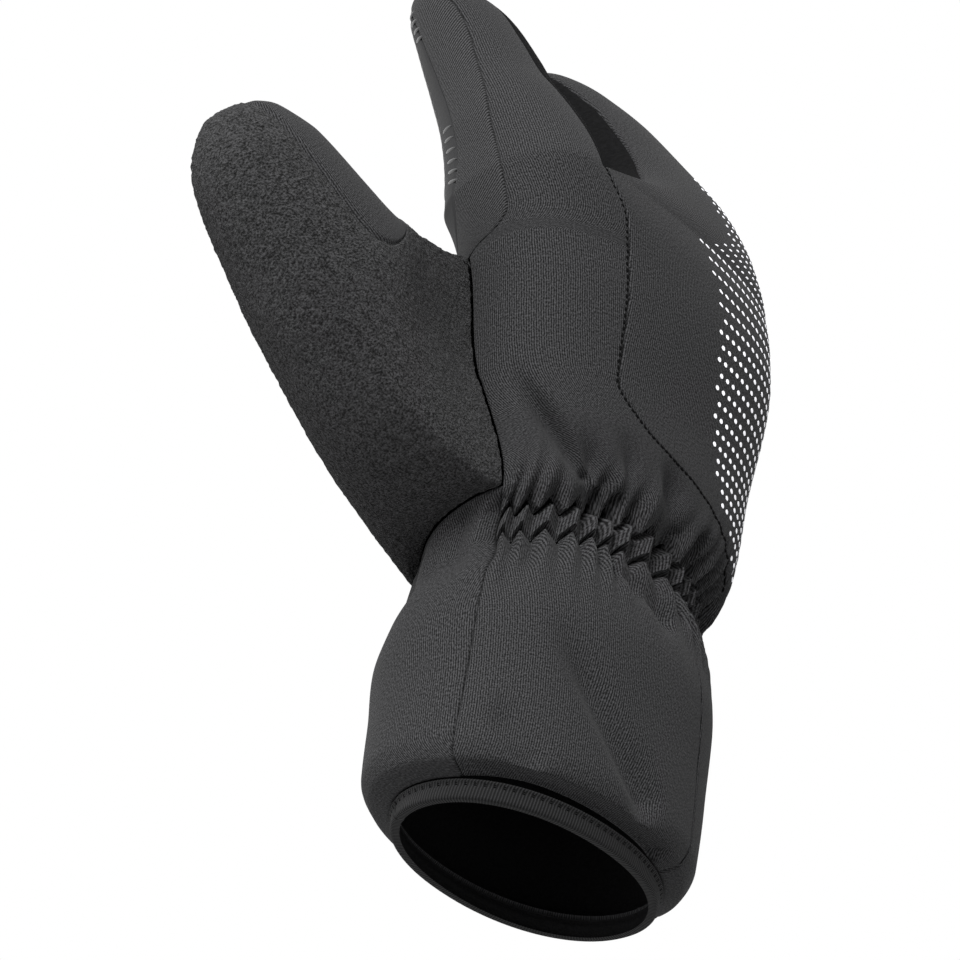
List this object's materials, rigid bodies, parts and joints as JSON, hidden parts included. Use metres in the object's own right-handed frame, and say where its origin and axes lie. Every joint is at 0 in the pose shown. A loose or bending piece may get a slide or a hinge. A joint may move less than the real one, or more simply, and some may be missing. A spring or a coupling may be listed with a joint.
{
  "type": "lobster claw mitt",
  "caption": "Right-hand winter cycling mitt with two two-finger claws, a terry thumb, a shirred wrist and a long gauntlet.",
  "frame": {"origin": "centre of the gauntlet's mouth", "axes": "+Z along the forearm to the fingertips, +X out of the back of the hand, -Y towards the thumb"},
  "size_m": [0.0966, 0.2097, 0.2822],
  "materials": {
    "shell": "matte",
    "palm_cloth": "matte",
    "twill": "matte",
    "fleece": "matte",
    "terry": "matte",
    "binding": "matte"
  },
  "bodies": {
    "root": {"hem_binding": "binding", "cuff_back": "shell", "cuff_side": "shell", "cuff_palm": "shell", "wrist_gather_back": "shell", "wrist_gather_palm": "shell", "index_side_panel": "shell", "back_panel": "shell", "heel_panel": "palm_cloth", "palm_panel": "palm_cloth", "forefinger_strip": "twill", "front_claw_gusset": "fleece", "rear_claw_gusset": "fleece", "thumb_outer": "terry", "thumb_inner": "palm_cloth"}
  },
  "joints": []
}
